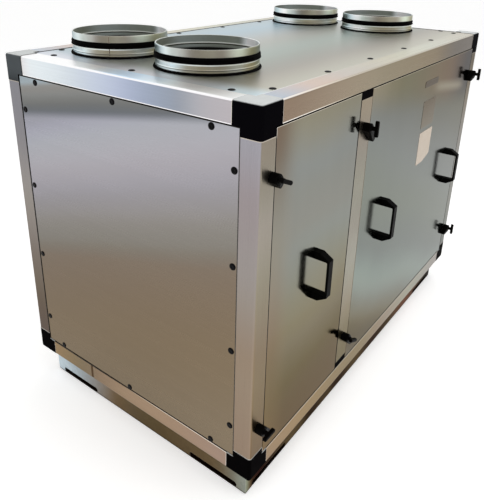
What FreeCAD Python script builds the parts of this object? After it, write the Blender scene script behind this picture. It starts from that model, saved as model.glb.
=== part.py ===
import FreeCAD, Part
import math
import os
from FreeCAD import Rotation, Vector

os.makedirs("parts", exist_ok=True)

# Housing: outer size over the frame, seen with the doors in front
housing_length = 1740.0
housing_depth = 1020.0
housing_height = 1160.0

# Base frame of folded channel, set in under the housing
base_height = 120.0
base_inset = 40.0
base_sheet = 4.0
base_flange = 55.0
base_fold = 6.0
slot_length = 200.0
slot_height = 20.0
slot_centre_height = 16.0
slot_from_corner = 135.0
foot_hole_radius = 7.0
foot_hole_from_corner = 60.0

# Hollow aluminium profiles, with a fin on each side that the panels lie on
profile_face = 62.0
profile_wall = 3.0
profile_radius = 8.0
fin_thickness = 3.0
fin_end_gap = 0.5
mullion_width = 75.0
mullion_from_left = 571.0
connector_height = 28.0

# Moulded three-way corners, with plugs that enter the profiles
corner_leg = 87.0
corner_proud = 1.0
corner_radius = 9.0
plug_length = 42.0
plug_play = 0.3
plug_chamfer = 4.0

# Sandwich panels and doors
panel_thickness = 50.0
panel_recess = 1.5
panel_seam = 2.0
panel_edge_radius = 1.5
door_seam = 4.0
door_edge_radius = 2.0
door_gasket_height = 5.0
door_gasket_width = 16.0
panel_gasket_depth = 8.0

# Duct spigots on the roof
spigot_radius = 157.0
spigot_height = 70.5
spigot_sheet = 2.0
spigot_first_from_left = 289.0
spigot_row_spacing = 382.0
spigot_back_from_back = 235.0
spigot_right_from_right = 230.0
roof_hole_play = 1.0
rim_bead = 2.5
lower_bead_height = 14.0
lower_bead_proud = 2.0
lower_bead_width = 5.0
seal_bottom = 31.0
seal_width = 16.5
seal_lip = 4.5
seal_groove = 1.5
seal_lip_thickness = 1.5
seal_root = 1.0
foot_ring_height = 6.0
foot_ring_width = 7.0
foot_ring_edge = 2.0

# Bridge handles on the doors
handle_foot_length = 165.0
handle_shoulder_height = 18.0
handle_grip_length = 126.0
handle_opening_length = 116.0
handle_reach = 50.0
handle_grip_thickness = 8.0
handle_width = 28.0
handle_rounding = 4.0
handle_edge_rounding = 2.5
handle_height = 569.0
left_handle_from_mullion = 214.0
middle_handle_from_door_edge = 197.0
right_handle_from_door_edge = 136.0

# Screw latches: a claw that swings over the door's edge, and a T wing that tightens it
latch_from_top = 181.0
left_latch_from_top = 190.0
latch_from_bottom = 188.0
latch_from_post_edge = 12.0
lower_left_latch_from_post_edge = 30.0
latch_seat_gap = 0.3
claw_slant = 45.0
claw_hub_radius = 15.0
claw_height = 24.0
claw_nose_radius = 11.0
claw_nose_height = 15.0
claw_lap = 12.0
claw_rounding = 2.5
claw_ramp_start = 12.0
claw_relief = 2.0
claw_relief_start = 11.0
wing_screw_radius = 4.0
wing_collar_radius = 11.0
wing_stem_radius = 7.0
wing_collar_height = 2.5
wing_length = 53.0
wing_bar_width = 12.0
wing_bar_depth = 11.0
wing_top = 47.0
wing_rounding = 3.0
wing_gap = 0.5

# Places worked out from the sizes above
left = -housing_length / 2
right = housing_length / 2
bottom = base_height + corner_proud
top = bottom + housing_height
fin_end = corner_leg - fin_end_gap
fin_reach = fin_end - profile_face
front_overhang = handle_reach
back_overhang = corner_proud
front = -housing_depth / 2 + (front_overhang - back_overhang) / 2
back = front + housing_depth
mullion_centre = left + mullion_from_left
X = Vector(1, 0, 0)
Y = Vector(0, 1, 0)
Z = Vector(0, 0, 1)


def save(name, shape):
    shape.exportStep("parts/" + name + ".step")


def box(x0, x1, y0, y1, z0, z1):
    return Part.makeBox(x1 - x0, y1 - y0, z1 - z0, Vector(x0, y0, z0))


def turned_to(shape, origin, across, up, along):
    """Moves a shape from its own axes to the given place and directions."""
    moved = shape.copy()
    moved.Placement = FreeCAD.Placement(origin, Rotation(across, up, along, "ZXY")) * shape.Placement
    return moved


def polygon_face(points):
    corners = [Vector(a, b, 0) for a, b in points]
    return Part.Face(Part.makePolygon(corners + corners[:1]))


def edges_where(shape, test):
    return [edge for edge in shape.Edges if test(edge)]


def straight_along(edge, direction):
    if not isinstance(edge.Curve, Part.Line):
        return False
    return abs(abs(edge.Curve.Direction.dot(direction)) - 1) < 1e-6


def rounded_square(size, radius, length):
    """A square bar from the outer edge inward, rounded on that edge alone."""
    bar = Part.makeBox(size, size, length)
    edge = edges_where(bar, lambda e: straight_along(e, Z) and e.CenterOfMass.x < 1e-6
                       and e.CenterOfMass.y < 1e-6)
    return bar.makeFillet(radius, edge)


# Base frame: four folded channels, mitred at the corners, open towards the inside

def base_channel(length):
    """A channel along X with its web at Y = 0, cut to a mitre at each end."""
    outline = polygon_face([(0, 0), (base_flange, 0), (base_flange, base_sheet), (base_sheet, base_sheet),
                            (base_sheet, base_height - base_sheet), (base_flange, base_height - base_sheet),
                            (base_flange, base_height), (0, base_height)])
    channel = outline.extrude(Vector(0, 0, length))
    outer_folds = edges_where(channel, lambda e: straight_along(e, Z) and e.CenterOfMass.x < 1e-6)
    channel = channel.makeFillet(base_fold, outer_folds)
    inner_folds = edges_where(channel, lambda e: straight_along(e, Z)
                              and abs(e.CenterOfMass.x - base_sheet) < 1e-6)
    channel = channel.makeFillet(base_fold - base_sheet, inner_folds)
    channel = turned_to(channel, Vector(0, 0, 0), Y, Z, X)
    mitre = polygon_face([(0, 0), (length, 0), (length - base_flange, base_flange),
                          (base_flange, base_flange)]).extrude(Vector(0, 0, base_height))
    channel = channel.common(mitre)
    for centre in (slot_from_corner, length - slot_from_corner):
        channel = channel.cut(lifting_slot(centre))
    for centre in (foot_hole_from_corner, length - foot_hole_from_corner):
        hole = Part.makeCylinder(foot_hole_radius, base_sheet, Vector(centre, base_flange / 2, 0), Z)
        channel = channel.cut(hole)
    return channel


def lifting_slot(centre):
    half = (slot_length - slot_height) / 2
    low = slot_centre_height - slot_height / 2
    slot = box(centre - half, centre + half, 0, base_sheet, low, low + slot_height)
    for end in (centre - half, centre + half):
        round_end = Part.makeCylinder(slot_height / 2, base_sheet, Vector(end, 0, slot_centre_height), Y)
        slot = slot.fuse(round_end)
    return slot.removeSplitter()


base_long = housing_length - 2 * base_inset
base_short = housing_depth - 2 * base_inset
base_places = [
    ("base_front_rail", base_long, Vector(left + base_inset, front + base_inset, 0)),
    ("base_right_rail", base_short, Vector(right - base_inset, front + base_inset, 0)),
    ("base_back_rail", base_long, Vector(right - base_inset, back - base_inset, 0)),
    ("base_left_rail", base_short, Vector(left + base_inset, back - base_inset, 0)),
]
for quarter, (name, length, place) in enumerate(base_places):
    rail = base_channel(length)
    rail.Placement = FreeCAD.Placement(place, Rotation(Z, 90 * quarter))
    save(name, rail)


# Frame profiles: one hollow section for the twelve edges of the housing

def edge_profile(length):
    """A hollow square along Z, its outer edge at the origin, with two fins."""
    hollow = profile_face - 2 * profile_wall
    profile = rounded_square(profile_face, profile_radius, length)
    inside = rounded_square(hollow, profile_radius - profile_wall, length)
    inside.translate(Vector(profile_wall, profile_wall, 0))
    fin_a = box(profile_face, fin_end, panel_thickness, panel_thickness + fin_thickness, 0, length)
    fin_b = box(panel_thickness, panel_thickness + fin_thickness, profile_face, fin_end, 0, length)
    return profile.cut(inside).fuse([fin_a, fin_b]).removeSplitter()


def along_edge(shape, place, inward_a, inward_b, along):
    """Sets a profile on an edge of the housing, whichever way round it has to go."""
    if inward_a.cross(inward_b).dot(along) > 0:
        return turned_to(shape, place, inward_a, inward_b, along)
    return turned_to(shape, place, inward_b, inward_a, along)


levels = {"bottom": (bottom, 1), "top": (top, -1)}
fronts = {"front": (front, 1), "back": (back, -1)}
sides = {"left": (left, 1), "right": (right, -1)}

for level, (z, up) in levels.items():
    for face, (y, inward) in fronts.items():
        place = Vector(left + corner_leg, y, z)
        profile = edge_profile(housing_length - 2 * corner_leg)
        save(level + "_" + face + "_profile", along_edge(profile, place, Y * inward, Z * up, X))
    for side, (x, inward) in sides.items():
        place = Vector(x, front + corner_leg, z)
        profile = edge_profile(housing_depth - 2 * corner_leg)
        save(level + "_" + side + "_profile", along_edge(profile, place, X * inward, Z * up, Y))

for face, (y, inward_y) in fronts.items():
    for side, (x, inward_x) in sides.items():
        place = Vector(x, y, bottom + corner_leg)
        profile = edge_profile(housing_height - 2 * corner_leg)
        save(face + "_" + side + "_post", along_edge(profile, place, X * inward_x, Y * inward_y, Z))


# Corners: a rounded cube with a short leg and a plug for each of its three profiles

def corner_piece():
    """A three-way corner whose outer corner is at the origin."""
    size = profile_face + corner_proud
    leg = Part.makeBox(size, size, corner_leg + corner_proud)
    body = leg.fuse([turned_to(leg, Vector(0, 0, 0), Y, Z, X), turned_to(leg, Vector(0, 0, 0), Z, X, Y)])
    body = body.removeSplitter()
    outer = edges_where(body, lambda e: isinstance(e.Curve, Part.Line)
                        and sum(c < 1e-6 for c in tuple(e.CenterOfMass)) == 2)
    body = body.makeFillet(corner_radius, outer)
    body.translate(Vector(-corner_proud, -corner_proud, -corner_proud))
    plug_size = profile_face - 2 * profile_wall - 2 * plug_play
    start = profile_wall + plug_play
    plug = Part.makeBox(plug_size, plug_size, plug_length + 1, Vector(start, start, corner_leg - 1))
    end = edges_where(plug, lambda e: abs(e.CenterOfMass.z - corner_leg - plug_length) < 1e-6)
    plug = plug.makeChamfer(plug_chamfer, end)
    lead = edges_where(plug, lambda e: straight_along(e, Z) and e.CenterOfMass.x < start + 1e-6
                       and e.CenterOfMass.y < start + 1e-6)
    plug = plug.makeFillet(profile_radius - profile_wall, lead)
    plugs = [plug, turned_to(plug, Vector(0, 0, 0), Y, Z, X), turned_to(plug, Vector(0, 0, 0), Z, X, Y)]
    return body.fuse(plugs).removeSplitter()


def mirrored(shape, flip_x, flip_y, flip_z):
    result = shape
    for flip, direction in ((flip_x, X), (flip_y, Y), (flip_z, Z)):
        if flip:
            result = result.mirror(Vector(0, 0, 0), direction)
    return result


corner = corner_piece()
for level, (z, up) in levels.items():
    pieces = []
    for y, inward_y in fronts.values():
        for x, inward_x in sides.values():
            piece = mirrored(corner, inward_x < 0, inward_y < 0, up < 0)
            pieces.append(piece.translated(Vector(x, y, z)))
    save(level + "_corners", Part.Compound(pieces))


# Mullions: a wider hollow section between the two doors, and its moulded end connectors

def mullion(length):
    section = Part.makeBox(mullion_width, profile_face, length, Vector(-mullion_width / 2, 0, 0))
    hollow = Part.makeBox(mullion_width - 2 * profile_wall, profile_face - 2 * profile_wall, length,
                          Vector(profile_wall - mullion_width / 2, profile_wall, 0))
    fin_tip = mullion_width / 2 + fin_reach
    fins = box(-fin_tip, fin_tip, panel_thickness, panel_thickness + fin_thickness, 0, length)
    return section.fuse(fins).cut(hollow).removeSplitter()


def mullion_connector():
    """A moulded block on the rail, slotted over its fin, with a plug up into the mullion."""
    block = box(-mullion_width / 2, mullion_width / 2, 0, profile_face, 0, connector_height)
    fin_slot = box(-mullion_width / 2, mullion_width / 2, panel_thickness - plug_play,
                   panel_thickness + fin_thickness + plug_play, 0, fin_reach + plug_play)
    block = block.cut(fin_slot)
    start = profile_wall + plug_play
    plug = box(start - mullion_width / 2, mullion_width / 2 - start, start, profile_face - start,
               connector_height - 1, connector_height + plug_length)
    end = edges_where(plug, lambda e: abs(e.CenterOfMass.z - connector_height - plug_length) < 1e-6)
    return block.fuse(plug.makeChamfer(plug_chamfer, end)).removeSplitter()


connectors = []
mullion_length = housing_height - 2 * profile_face - 2 * connector_height
for face, (y, inward) in fronts.items():
    turn = 0 if inward > 0 else 180
    bar = mullion(mullion_length)
    low = bottom + profile_face + connector_height
    bar.Placement = FreeCAD.Placement(Vector(mullion_centre, y, low), Rotation(Z, turn))
    save(face + "_mullion", bar)
    foot = mullion_connector()
    head = foot.mirror(Vector(0, 0, 0), Z)
    foot.Placement = FreeCAD.Placement(Vector(mullion_centre, y, bottom + profile_face), Rotation(Z, turn))
    head.Placement = FreeCAD.Placement(Vector(mullion_centre, y, top - profile_face), Rotation(Z, turn))
    connectors += [foot, head]
save("mullion_connectors", Part.Compound(connectors))


# Panels and doors: a pressed sheet tray that holds insulation, let in between the profiles

def tray(width, height, thickness, edge_radius):
    """A panel on X and Y with its outer face at Z = 0 and its thickness below."""
    plate = Part.makeBox(width, height, thickness, Vector(0, 0, -thickness))
    rim = edges_where(plate, lambda e: abs(e.CenterOfMass.z) < 1e-6)
    return plate.makeFillet(edge_radius, rim)


def strip_frame(width, height, band, depth):
    """A rectangular ring of strip on X and Y, from Z = 0 down."""
    ring = Part.makeBox(width, height, depth, Vector(0, 0, -depth))
    inner = Part.makeBox(width - 2 * band, height - 2 * band, depth, Vector(band, band, -depth))
    return ring.cut(inner)


def fixed_panel(across, up, outward, low_corner, width, height):
    """Sets a panel and its seam strip in the frame opening that starts at low_corner."""
    plate = tray(width - 2 * panel_seam, height - 2 * panel_seam, panel_thickness - panel_recess,
                 panel_edge_radius)
    inset = (across + up) * panel_seam - outward * panel_recess
    strip = strip_frame(width, height, panel_seam, panel_gasket_depth)
    strip_place = low_corner - outward * (panel_recess + panel_edge_radius)
    return (turned_to(plate, low_corner + inset, across, up, outward),
            turned_to(strip, strip_place, across, up, outward))


inner_left = left + profile_face
inner_right = right - profile_face
inner_front = front + profile_face
inner_back = back - profile_face
inner_bottom = bottom + profile_face
inner_top = top - profile_face
inner_length = inner_right - inner_left
inner_depth = inner_back - inner_front
inner_height = inner_top - inner_bottom
left_bay = mullion_centre - mullion_width / 2 - inner_left
right_bay = inner_right - mullion_centre - mullion_width / 2
right_bay_start = mullion_centre + mullion_width / 2

strips = []
left_end, strip = fixed_panel(-Y, Z, -X, Vector(left, inner_back, inner_bottom), inner_depth, inner_height)
strips.append(strip)
save("left_end_panel", left_end)
right_end, strip = fixed_panel(Y, Z, X, Vector(right, inner_front, inner_bottom), inner_depth, inner_height)
strips.append(strip)
save("right_end_panel", right_end)
back_left, strip = fixed_panel(-X, Z, Y, Vector(inner_left + left_bay, back, inner_bottom),
                               left_bay, inner_height)
strips.append(strip)
save("back_left_panel", back_left)
back_right, strip = fixed_panel(-X, Z, Y, Vector(inner_right, back, inner_bottom), right_bay, inner_height)
strips.append(strip)
save("back_right_panel", back_right)
floor_panel, strip = fixed_panel(X, -Y, -Z, Vector(inner_left, inner_back, bottom), inner_length, inner_depth)
strips.append(strip)
save("floor_panel", floor_panel)

spigot_left_x = left + spigot_first_from_left
spigot_right_x = right - spigot_right_from_right
spigot_back_y = back - spigot_back_from_back
spigot_front_y = spigot_back_y - spigot_row_spacing
spigot_places = {
    "front_left_spigot": Vector(spigot_left_x, spigot_front_y, top - panel_recess),
    "back_left_spigot": Vector(spigot_left_x, spigot_back_y, top - panel_recess),
    "front_right_spigot": Vector(spigot_right_x, spigot_front_y, top - panel_recess),
    "back_right_spigot": Vector(spigot_right_x, spigot_back_y, top - panel_recess),
}
roof_depth = panel_thickness - panel_recess

roof_panel, strip = fixed_panel(X, Y, Z, Vector(inner_left, inner_front, top), inner_length, inner_depth)
strips.append(strip)
for place in spigot_places.values():
    hole = Part.makeCylinder(spigot_radius + roof_hole_play, panel_thickness, place - Z * roof_depth, Z)
    roof_panel = roof_panel.cut(hole)
save("roof_panel", roof_panel)
save("panel_seam_strips", Part.Compound(strips))

door_gaskets = []
door_starts = {"left_door": (inner_left, left_bay), "right_door": (right_bay_start, right_bay)}
for name, (start, width) in door_starts.items():
    door = tray(width - 2 * door_seam, inner_height - 2 * door_seam, panel_thickness - door_gasket_height,
                door_edge_radius)
    place = Vector(start + door_seam, front, inner_bottom + door_seam)
    save(name, turned_to(door, place, X, Z, -Y))
    gasket = strip_frame(width - 2 * door_seam, inner_height - 2 * door_seam, door_gasket_width,
                         door_gasket_height)
    place = place + Y * (panel_thickness - door_gasket_height)
    door_gaskets.append(turned_to(gasket, place, X, Z, -Y))
save("door_gaskets", Part.Compound(door_gaskets))


# Spigots: a rolled collar with a curled rim and a bead, a lip seal round it, and a ring at the roof

def revolved(points):
    outline = [Vector(r, 0, z) for r, z in points]
    face = Part.Face(Part.makePolygon(outline + outline[:1]))
    return face.revolve(Vector(0, 0, 0), Z, 360)


seal_top = seal_bottom + seal_width
collar_inner = spigot_radius - spigot_sheet
groove_radius = spigot_radius - seal_groove
bead_low = lower_bead_height - lower_bead_width / 2
bead_high = lower_bead_height + lower_bead_width / 2
collar = revolved([
    (collar_inner, -roof_depth),
    (spigot_radius, -roof_depth),
    (spigot_radius, bead_low),
    (spigot_radius + lower_bead_proud, lower_bead_height),
    (spigot_radius, bead_high),
    (spigot_radius, seal_bottom - seal_groove),
    (groove_radius, seal_bottom),
    (groove_radius, seal_top),
    (spigot_radius, seal_top + seal_groove),
    (spigot_radius, spigot_height - rim_bead),
    (spigot_radius - rim_bead / 2, spigot_height),
    (collar_inner - rim_bead / 2, spigot_height),
    (collar_inner - rim_bead, spigot_height - rim_bead / 2),
    (collar_inner - rim_bead / 2, spigot_height - rim_bead),
    (collar_inner - spigot_sheet / 2, seal_top + seal_groove),
    (collar_inner - seal_groove, seal_top),
    (collar_inner - seal_groove, seal_bottom),
    (collar_inner, seal_bottom - seal_groove),
])
lip_step = seal_width / 2
lip_seal = revolved([
    (groove_radius, seal_bottom),
    (spigot_radius + seal_lip, seal_bottom),
    (spigot_radius + seal_lip, seal_bottom + seal_lip_thickness),
    (spigot_radius + seal_root, seal_bottom + lip_step - seal_root),
    (spigot_radius + seal_lip - seal_root, seal_bottom + lip_step),
    (spigot_radius + seal_lip - seal_root, seal_bottom + lip_step + seal_lip_thickness),
    (spigot_radius + seal_root, seal_top),
    (groove_radius, seal_top),
])
foot_ring = revolved([
    (spigot_radius, 0),
    (spigot_radius + foot_ring_width, 0),
    (spigot_radius + foot_ring_width, foot_ring_edge),
    (spigot_radius + foot_ring_width / 2, foot_ring_height),
    (spigot_radius, foot_ring_height),
])
for name, place in spigot_places.items():
    save(name, collar.translated(place))
save("spigot_lip_seals", Part.Compound([lip_seal.translated(p) for p in spigot_places.values()]))
save("spigot_foot_rings", Part.Compound([foot_ring.translated(p) for p in spigot_places.values()]))


# Handles: a moulded bridge whose arms stand straight out, then slope in to a straight grip

def bridge_handle():
    """A handle that stands out along Z, its length along Y and centred on X."""
    foot = handle_foot_length / 2
    grip = handle_grip_length / 2
    opening = handle_opening_length / 2
    gap = handle_reach - handle_grip_thickness
    shoulder = handle_shoulder_height
    outline = polygon_face([(-foot, 0), (-foot, shoulder), (-grip, handle_reach), (grip, handle_reach),
                            (foot, shoulder), (foot, 0), (opening, 0), (opening, gap), (-opening, gap),
                            (-opening, 0)])
    body = outline.extrude(Vector(0, 0, handle_width))
    bends = edges_where(body, lambda e: straight_along(e, Z) and e.CenterOfMass.y > 1e-6)
    body = body.makeFillet(handle_rounding, bends)
    rims = edges_where(body, lambda e: not straight_along(e, Z) and e.CenterOfMass.y > 1e-6
                       and (e.BoundBox.YMax > gap + 1 or abs(abs(e.CenterOfMass.x) - opening) > 1))
    body = body.makeFillet(handle_edge_rounding, rims)
    body.translate(Vector(0, 0, -handle_width / 2))
    return turned_to(body, Vector(0, 0, 0), Y, Z, X)


handle = bridge_handle()
door_edge_right_bay = right_bay_start + door_seam
handle_places = {
    "left_door_handle": mullion_centre - mullion_width / 2 - left_handle_from_mullion,
    "right_door_left_handle": door_edge_right_bay + middle_handle_from_door_edge,
    "right_door_right_handle": inner_right - door_seam - right_handle_from_door_edge,
}
for name, x in handle_places.items():
    save(name, turned_to(handle, Vector(x, front, bottom + handle_height), X, Z, -Y))


# Latches: each claw swings on a screw in the post or mullion, and its T wing turns on the same screw

def claw(reach):
    """A claw on X and Y that stands out along Z, its nose towards X."""
    nose_centre = reach - claw_nose_radius
    nose_angle = math.acos((claw_hub_radius - claw_nose_radius) / nose_centre)
    hub_tangent = Vector(claw_hub_radius * math.cos(nose_angle), claw_hub_radius * math.sin(nose_angle), 0)
    nose_tangent = Vector(nose_centre + claw_nose_radius * math.cos(nose_angle),
                          claw_nose_radius * math.sin(nose_angle), 0)
    hub_lower = Vector(hub_tangent.x, -hub_tangent.y, 0)
    nose_lower = Vector(nose_tangent.x, -nose_tangent.y, 0)
    outline = Part.Wire([
        Part.makeLine(hub_tangent, nose_tangent),
        Part.Arc(nose_tangent, Vector(reach, 0, 0), nose_lower).toShape(),
        Part.makeLine(nose_lower, hub_lower),
        Part.Arc(hub_lower, Vector(-claw_hub_radius, 0, 0), hub_tangent).toShape(),
    ])
    body = Part.Face(outline).extrude(Vector(0, 0, claw_height))
    wedge = polygon_face([(claw_ramp_start, claw_height), (reach + 1, claw_nose_height),
                          (reach + 1, claw_height + 1), (claw_ramp_start, claw_height + 1)])
    wedge = wedge.extrude(Vector(0, 0, 2 * claw_hub_radius))
    wedge.translate(Vector(0, 0, -claw_hub_radius))
    body = body.cut(turned_to(wedge, Vector(0, 0, 0), X, Z, -Y))
    body = body.makeFillet(claw_rounding, edges_where(body, lambda e: e.BoundBox.ZMin > claw_nose_height - 1))
    relief = box(claw_relief_start, reach - claw_nose_radius, -claw_hub_radius, claw_hub_radius, 0,
                 claw_relief)
    body = body.cut(relief)
    screw_hole = Part.makeCylinder(wing_screw_radius + wing_gap, claw_height)
    return body.cut(screw_hole).removeSplitter()


def wing():
    """A T wing that stands out along Z above a claw, with its bar along X and its screw below."""
    collar_low = claw_height + wing_gap
    screw = Part.makeCylinder(wing_screw_radius, collar_low + 1)
    wing_collar = Part.makeCone(wing_collar_radius, wing_stem_radius, wing_collar_height,
                                Vector(0, 0, collar_low))
    bar_low = wing_top - wing_bar_depth
    stem = Part.makeCylinder(wing_stem_radius, bar_low - collar_low, Vector(0, 0, collar_low))
    half = (wing_length - wing_bar_width) / 2
    bar = box(-half, half, -wing_bar_width / 2, wing_bar_width / 2, bar_low, wing_top)
    for end in (-half, half):
        bar = bar.fuse(Part.makeCylinder(wing_bar_width / 2, wing_bar_depth, Vector(end, 0, bar_low)))
    bar = bar.removeSplitter()
    rims = edges_where(bar, lambda e: abs(e.CenterOfMass.z - wing_top) < 1e-6)
    bar = bar.makeFillet(wing_rounding, rims)
    return screw.fuse([wing_collar, stem, bar]).removeSplitter()


# Each latch: its place, the distance from its screw to the door's edge, and the way its claw and wing point
post_latch = latch_from_post_edge + door_seam
lower_left_latch = lower_left_latch_from_post_edge + door_seam
mullion_latch = mullion_width / 2 + door_seam
left_door_edge = inner_left + door_seam
right_door_edge = inner_right - door_seam
lower = bottom + latch_from_bottom
upper = top - latch_from_top
left_upper = top - left_latch_from_top
latches = {
    "left_upper": (left_door_edge - post_latch, left_upper, post_latch, -claw_slant, -25),
    "left_lower": (left_door_edge - lower_left_latch, lower, lower_left_latch, -claw_slant, 0),
    "middle_upper": (mullion_centre, upper, mullion_latch, -claw_slant, 90),
    "middle_lower": (mullion_centre, lower, mullion_latch, -claw_slant, -25),
    "right_upper": (right_door_edge + post_latch, upper, post_latch, claw_slant - 180, 90),
    "right_lower": (right_door_edge + post_latch, lower, post_latch, claw_slant - 180, 90),
}
for name, (x, z, from_door, claw_turn, wing_turn) in latches.items():
    reach = (from_door + claw_lap) / math.cos(math.radians(claw_slant))
    for piece, shape, turn in (("claw", claw(reach), claw_turn), ("wing", wing(), wing_turn)):
        shape.rotate(Vector(0, 0, 0), Z, turn)
        seat = Vector(x, front - latch_seat_gap, z)
        save(name + "_" + piece, turned_to(shape, seat, X, Z, -Y))
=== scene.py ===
import math
import bmesh
import bpy
from mathutils import Matrix, Vector


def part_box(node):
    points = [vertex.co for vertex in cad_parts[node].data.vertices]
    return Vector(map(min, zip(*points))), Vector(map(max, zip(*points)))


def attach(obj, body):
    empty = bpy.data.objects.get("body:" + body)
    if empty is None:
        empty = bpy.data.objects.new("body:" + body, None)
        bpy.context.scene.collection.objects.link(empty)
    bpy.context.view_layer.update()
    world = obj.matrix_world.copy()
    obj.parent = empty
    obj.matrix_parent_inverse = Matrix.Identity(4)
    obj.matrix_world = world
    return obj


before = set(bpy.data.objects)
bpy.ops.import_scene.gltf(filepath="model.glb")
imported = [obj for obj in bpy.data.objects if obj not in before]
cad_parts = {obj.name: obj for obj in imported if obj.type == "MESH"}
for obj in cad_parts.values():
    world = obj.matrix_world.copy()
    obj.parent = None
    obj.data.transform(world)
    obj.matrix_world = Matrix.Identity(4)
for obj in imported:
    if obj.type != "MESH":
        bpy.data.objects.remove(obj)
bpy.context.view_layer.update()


# Base frame: four channels folded from galvanised steel sheet and welded at the mitres. The zinc is
# dull, with a faint spangle. Its tones along each rail are painted reflections of the floor, with
# painted shade low down over the floor and on the lower flange inside the channel.

along_x, along_y, upward = (1.0, 0.0, 0.0), (0.0, 1.0, 0.0), (0.0, 0.0, 1.0)
downward = (0.0, 0.0, -1.0)


def add_node(tree, kind, sockets, **settings):
    """Adds a node, sets it, and joins or fills its sockets."""
    made = tree.nodes.new(kind)
    for name, value in settings.items():
        setattr(made, name, value)
    for name, value in sockets.items():
        if isinstance(value, bpy.types.NodeSocket):
            tree.links.new(value, made.inputs[name])
        else:
            made.inputs[name].default_value = value
    return made


def maths(tree, operation, first, second):
    """One operation on two numbers."""
    return add_node(tree, "ShaderNodeMath", {0: first, 1: second}, operation=operation).outputs[0]


def vectors(tree, operation, first, second):
    """One operation on two vectors."""
    return add_node(tree, "ShaderNodeVectorMath", {0: first, 1: second},
                    operation=operation).outputs[0]


def product(tree, first, second):
    """How far one vector reaches along another."""
    return add_node(tree, "ShaderNodeVectorMath", {0: first, 1: second},
                    operation="DOT_PRODUCT").outputs["Value"]


def scaled(tree, vector, factor):
    """A vector or colour times a number."""
    return add_node(tree, "ShaderNodeVectorMath", {0: vector, "Scale": factor},
                    operation="SCALE").outputs[0]


def spread(tree, value, low, high, to_low=0.0, to_high=1.0, smooth=False):
    """Maps a value from one range to another."""
    made = add_node(tree, "ShaderNodeMapRange", {"Value": value, "From Min": low, "From Max": high,
                                                 "To Min": to_low, "To Max": to_high})
    if smooth:
        made.interpolation_type = "SMOOTHSTEP"
    return made.outputs[0]


def blended(tree, share, first, second):
    """Blends two colours: 6 and 7 are the colour inputs of a Mix node, and 2 its colour output."""
    return add_node(tree, "ShaderNodeMix", {0: share, 6: first, 7: second},
                    data_type="RGBA").outputs[2]


def noise(tree, place, scale, detail, **more):
    """Noise at a place, as a node with the outputs Fac and Color."""
    return add_node(tree, "ShaderNodeTexNoise",
                    {"Vector": place, "Scale": scale, "Detail": detail, **more})


def stretched(tree, place, grain, scales):
    """A place drawn out along the grain, from the scales (along, across), for lines of noise."""
    scale = [scales[0] if axis in grain else scales[1] for axis in "XYZ"]
    return add_node(tree, "ShaderNodeMapping", {"Vector": place, "Scale": scale}).outputs[0]


def tone(red, green, blue):
    """A display colour, 0 to 255, as the linear colour that a shader takes."""
    return tuple(((part / 255 + 0.055) / 1.055) ** 2.4 for part in (red, green, blue))


def colours_along(tree, value, stops):
    """Colours that change with a value, given as (value, colour) stops."""
    first, last = stops[0][0], stops[-1][0]
    ramp = add_node(tree, "ShaderNodeValToRGB", {0: spread(tree, value, first, last)})
    ramp.color_ramp.interpolation = "CARDINAL"
    while len(ramp.color_ramp.elements) < len(stops):
        ramp.color_ramp.elements.new(1.0)
    for element, (stop, colour) in zip(ramp.color_ramp.elements, stops):
        element.position = (stop - first) / (last - first)
        element.color = (*colour, 1.0)
    return ramp.outputs[0]


def faced(direction, low=0.5, high=0.8):
    """Where the surface faces a direction."""
    return lambda tree, place, normal: spread(tree, product(tree, normal, direction), low, high,
                                              smooth=True)


def beyond(direction, low, high):
    """Where the distance along a direction passes from low to high."""
    return lambda tree, place, normal: spread(tree, product(tree, place, direction), low, high,
                                              smooth=True)


def both(first, second):
    """Where two shares overlap."""
    return lambda tree, place, normal: maths(tree, "MULTIPLY", first(tree, place, normal),
                                             second(tree, place, normal))


def new_material(name):
    """An empty material, with its nodes and its shader."""
    material = bpy.data.materials.new(name)
    material.use_nodes = True
    return material, material.node_tree, material.node_tree.nodes["Principled BSDF"]


cloud_scale, flake_scale, swell_scale = 3.0, 90.0, 4.0
line_scales, band_scales = (1.5, 520.0), (0.5, 26.0)
line_relief, swell_relief = 0.0004, 0.004
metal_edge, matt_metallic = 0.0016, 0.25
worn_and_lit_edge_tone = (*tone(232, 230, 226), 1.0)


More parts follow.
